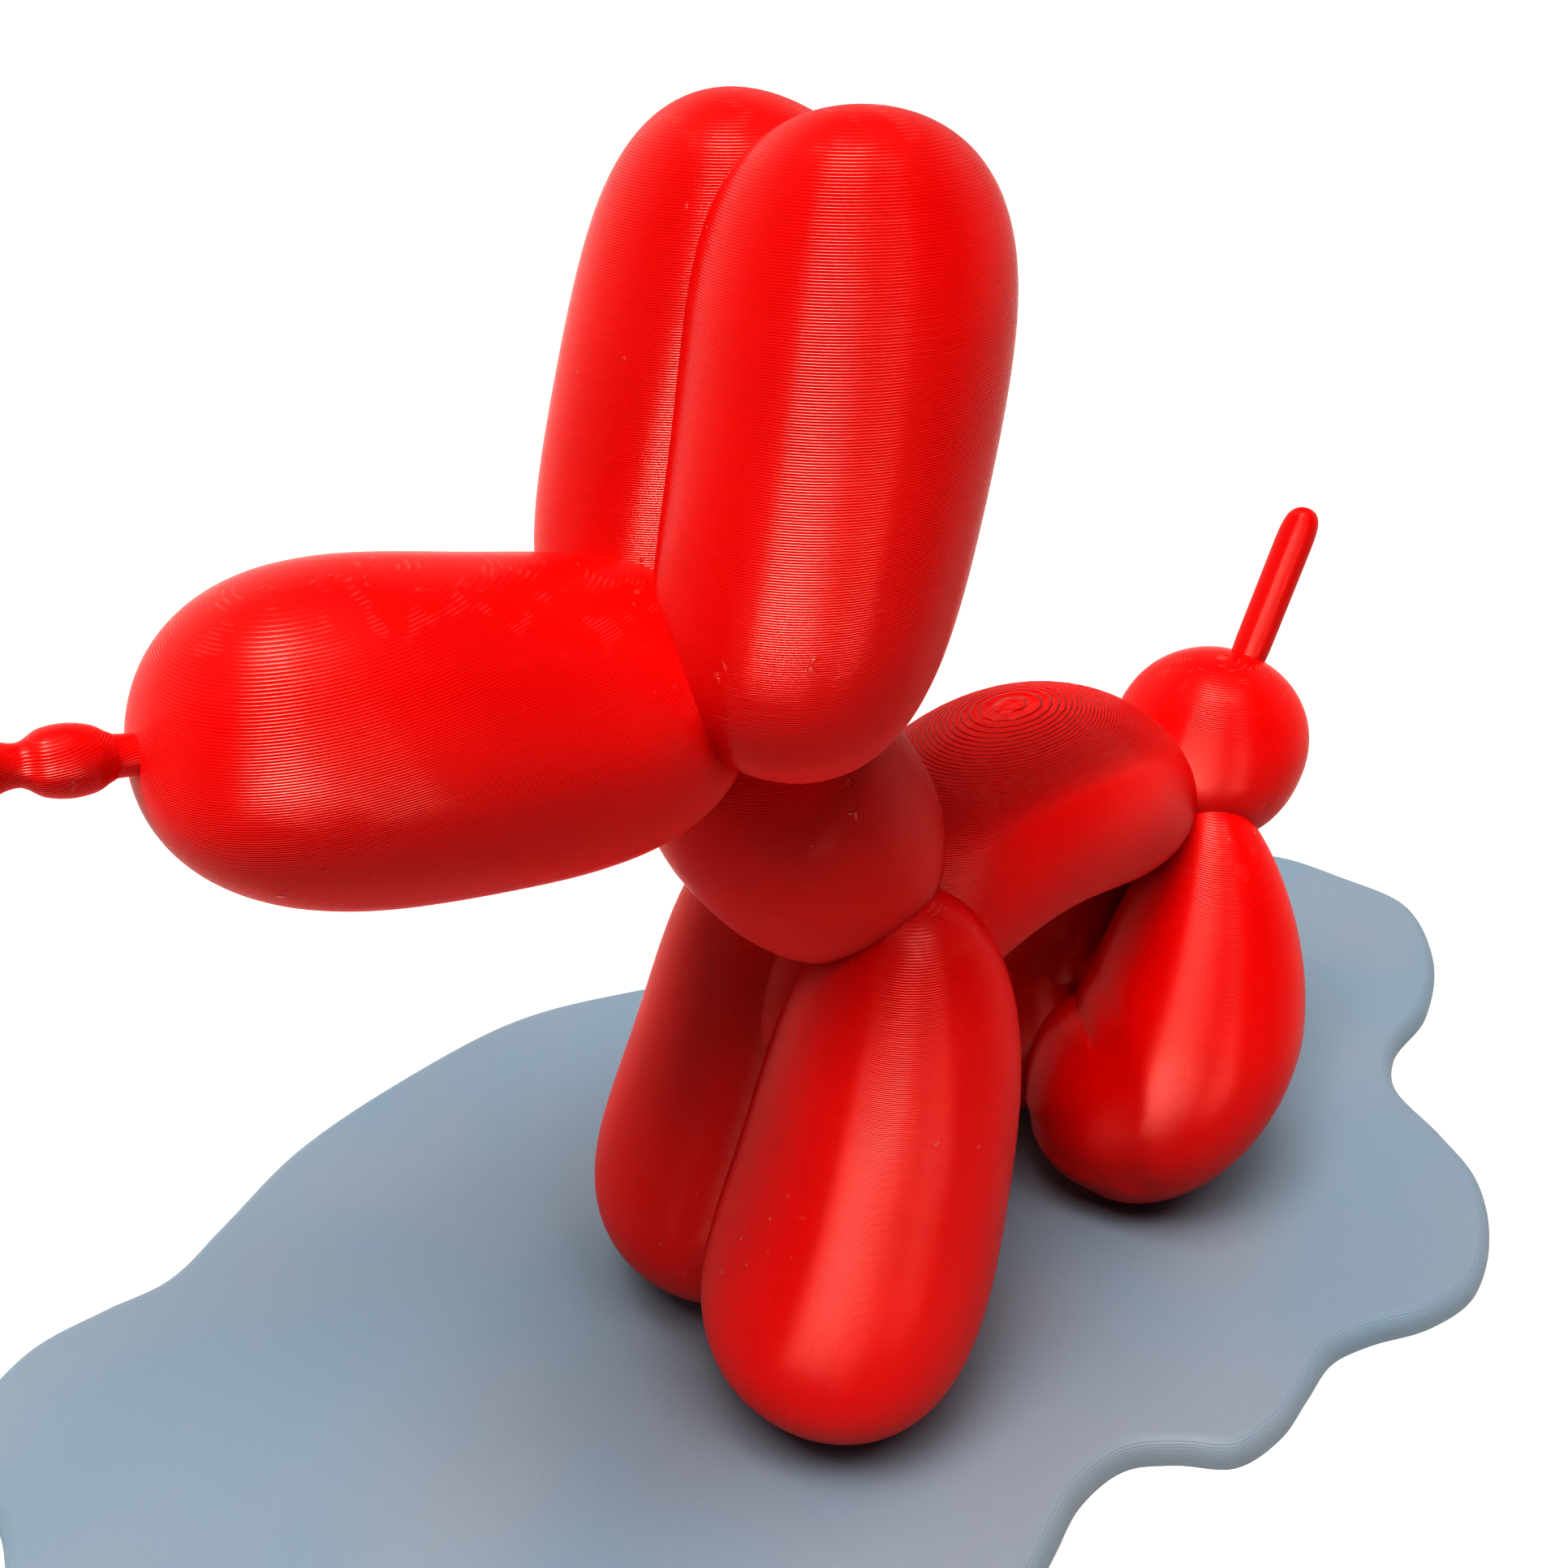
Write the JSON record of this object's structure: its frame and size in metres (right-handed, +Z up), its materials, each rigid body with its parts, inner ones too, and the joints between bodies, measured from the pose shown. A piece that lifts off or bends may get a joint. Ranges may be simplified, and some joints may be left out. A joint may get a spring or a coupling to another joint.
{
  "type": "balloon dog figurine",
  "caption": "Balloon poodle figurine of sausage-shaped bubbles standing on a flat, wavy-edged puddle, both printed in plastic.",
  "frame": {"origin": "under the middle of the puddle's outline box, on the surface it stands on", "axes": "+Z up, -Y the way the dog looks, +X towards the dog's left side"},
  "size_m": [0.1266, 0.2326, 0.1454],
  "materials": {
    "red_plastic": "satin printed plastic with fine level layer lines",
    "grey_blue_plastic": "smooth matte printed plastic"
  },
  "bodies": {
    "root": {"balloon_poodle": "red_plastic", "puddle_base": "grey_blue_plastic"}
  },
  "joints": []
}
